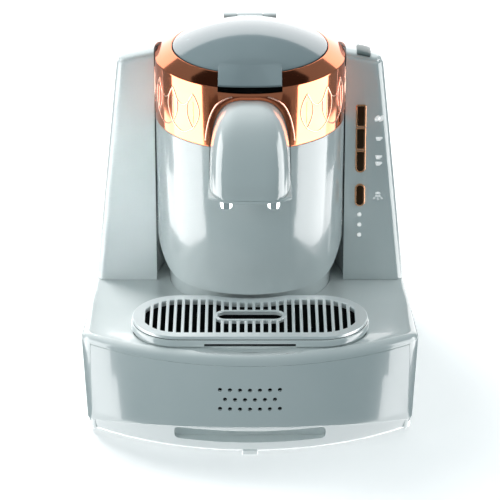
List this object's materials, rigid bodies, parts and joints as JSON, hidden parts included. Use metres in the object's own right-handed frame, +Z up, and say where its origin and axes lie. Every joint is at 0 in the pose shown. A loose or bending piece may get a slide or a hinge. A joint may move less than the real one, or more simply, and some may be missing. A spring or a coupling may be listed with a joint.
{
  "type": "electric turkish coffee maker",
  "caption": "Turkish coffee maker: brewing barrel with copper-coloured band and hinged lid over a drip tray, twin-nozzle spout, push buttons on a tapered housing, lift-off rear water tank.",
  "frame": {"origin": "on the floor under the middle of the machine's box, at the underside of its feet", "axes": "+X to the right seen from the front, +Y to the rear, +Z up; the front faces -Y"},
  "size_m": [0.246, 0.28, 0.28],
  "materials": {
    "white_gloss": "smooth gloss white moulding",
    "copper": "polished copper-coloured plating",
    "copper_trim": "bright copper-coloured plating",
    "chrome": "bright chrome",
    "steel": "brushed stainless steel",
    "aluminium": "plain cast aluminium",
    "black_plastic": "fine matt black moulding",
    "grey_plastic": "satin grey moulding",
    "rubber": "matt soft rubber",
    "button_brown": "glossy dark brown cap",
    "light_white": "milky light pipe",
    "board_green": "lacquered circuit board",
    "tank_clear": "clear smoked plastic"
  },
  "bodies": {
    "machine": {"base_pan": "white_gloss", "deck_shell": "white_gloss", "front_panel": "white_gloss", "pedestal": "white_gloss", "barrel_shell": "white_gloss", "spout_cover": "white_gloss", "spout_plate": "white_gloss", "rear_housing": "white_gloss", "top_cover": "white_gloss", "copper_band": "copper", "button_bezels": "copper_trim", "brew_chamber": "steel", "hinge_pin": "steel", "pan_screws": "steel", "nozzles": "steel", "heater_plate": "aluminium", "chamber_collar": "black_plastic", "hinge_bracket": "black_plastic", "thermostat": "black_plastic", "buzzer": "black_plastic", "cable_gland": "black_plastic", "tank_dock": "black_plastic", "spout_manifold": "black_plastic", "water_pump": "grey_plastic", "rubber_feet": "rubber", "dock_seal": "rubber", "pump_mounts": "rubber", "inlet_hose": "rubber", "outlet_hose": "rubber", "light_pipes": "light_white", "control_board": "board_green", "power_board": "board_green"},
    "lid": {"lid_dome": "white_gloss", "lid_liner": "black_plastic", "lid_seal": "rubber"},
    "tray": {"drip_tray": "white_gloss"},
    "grille": {"drip_grille": "chrome"},
    "roast_button": {"button_roast": "button_brown"},
    "one_cup_button": {"button_one_cup": "button_brown"},
    "two_cups_button": {"button_two_cups": "button_brown"},
    "clean_button": {"button_clean": "button_brown"},
    "slider": {"size_slider": "grey_plastic"},
    "tank": {"water_tank": "tank_clear", "tank_valve": "grey_plastic"},
    "tank_cover": {"tank_lid": "white_gloss"}
  },
  "joints": [
    {"name": "lid_hinge", "type": "hinge", "parent": "machine", "child": "lid", "pos_m": [0, 0.075, 0.2635], "axis": [-1, 0, 0], "range_deg": [0, 90]},
    {"name": "tray_lift", "type": "slide", "parent": "machine", "child": "tray", "axis": [0, 0, 1], "range_m": [0, 0.06]},
    {"name": "grille_lift", "type": "slide", "parent": "tray", "child": "grille", "axis": [0, 0, 1], "range_m": [0, 0.015]},
    {"name": "roast_press", "type": "slide", "parent": "machine", "child": "roast_button", "axis": [0, 1, 0], "range_m": [0, 0.0012], "stiffness_N_per_m": 500},
    {"name": "one_cup_press", "type": "slide", "parent": "machine", "child": "one_cup_button", "axis": [0, 1, 0], "range_m": [0, 0.0012], "stiffness_N_per_m": 500},
    {"name": "two_cups_press", "type": "slide", "parent": "machine", "child": "two_cups_button", "axis": [0, 1, 0], "range_m": [0, 0.0012], "stiffness_N_per_m": 500},
    {"name": "clean_press", "type": "slide", "parent": "machine", "child": "clean_button", "axis": [0, 1, 0], "range_m": [0, 0.0012], "stiffness_N_per_m": 500},
    {"name": "size_slide", "type": "slide", "parent": "machine", "child": "slider", "axis": [0.9748, 0, -0.2229], "range_m": [-0.004, 0.004]},
    {"name": "tank_lift", "type": "slide", "parent": "machine", "child": "tank", "axis": [0, 0, 1], "range_m": [0, 0.12]},
    {"name": "tank_cover_lift", "type": "slide", "parent": "tank", "child": "tank_cover", "axis": [0, 0, 1], "range_m": [0, 0.05]}
  ]
}
